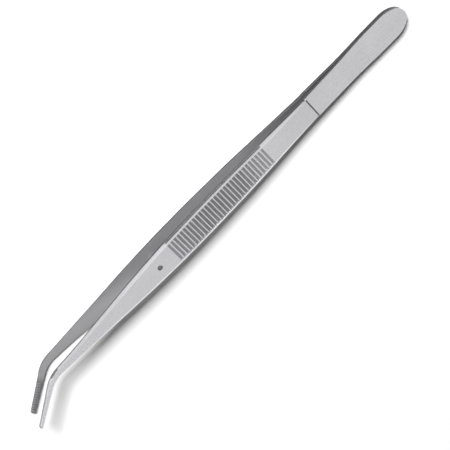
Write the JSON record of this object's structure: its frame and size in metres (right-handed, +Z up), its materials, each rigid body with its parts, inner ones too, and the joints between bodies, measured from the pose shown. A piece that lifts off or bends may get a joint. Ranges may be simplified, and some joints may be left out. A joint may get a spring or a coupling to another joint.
{
  "type": "print tongs",
  "caption": "Steel print tongs: sprung arms welded at the butt end, with a ribbed grip, a guide pin, and angled, toothed tips that close together.",
  "frame": {"origin": "under the middle of the tongs' box, on the surface that they lie on", "axes": "+X from the butt end to the tips, +Y the way the tips bend, +Z up, out of the front arm's outer face"},
  "size_m": [0.2002, 0.017, 0.015],
  "materials": {
    "satin_steel": "satin ground stainless steel",
    "pin_steel": "drawn stainless steel wire, duller than the arms"
  },
  "bodies": {
    "butt": {"front_arm_butt": "satin_steel", "rear_arm_butt": "satin_steel"},
    "front_arm": {"front_arm_blade": "satin_steel"},
    "rear_arm": {"rear_arm_blade": "satin_steel", "guide_pin": "pin_steel"}
  },
  "joints": [
    {"name": "front_arm_flex", "type": "hinge", "parent": "butt", "child": "front_arm", "pos_m": [-0.06416, -0.00296, 0.00511], "axis": [0, 1, 0], "range_deg": [0, 2.02], "stiffness_Nm_per_rad": 10},
    {"name": "rear_arm_flex", "type": "hinge", "parent": "butt", "child": "rear_arm", "pos_m": [-0.06408, -0.00296, 0.00228], "axis": [0, -1, 0], "range_deg": [0, 2.02], "stiffness_Nm_per_rad": 10}
  ],
  "couplings": [
    {"joint": "rear_arm_flex", "follows": "front_arm_flex", "ratio": 1}
  ]
}
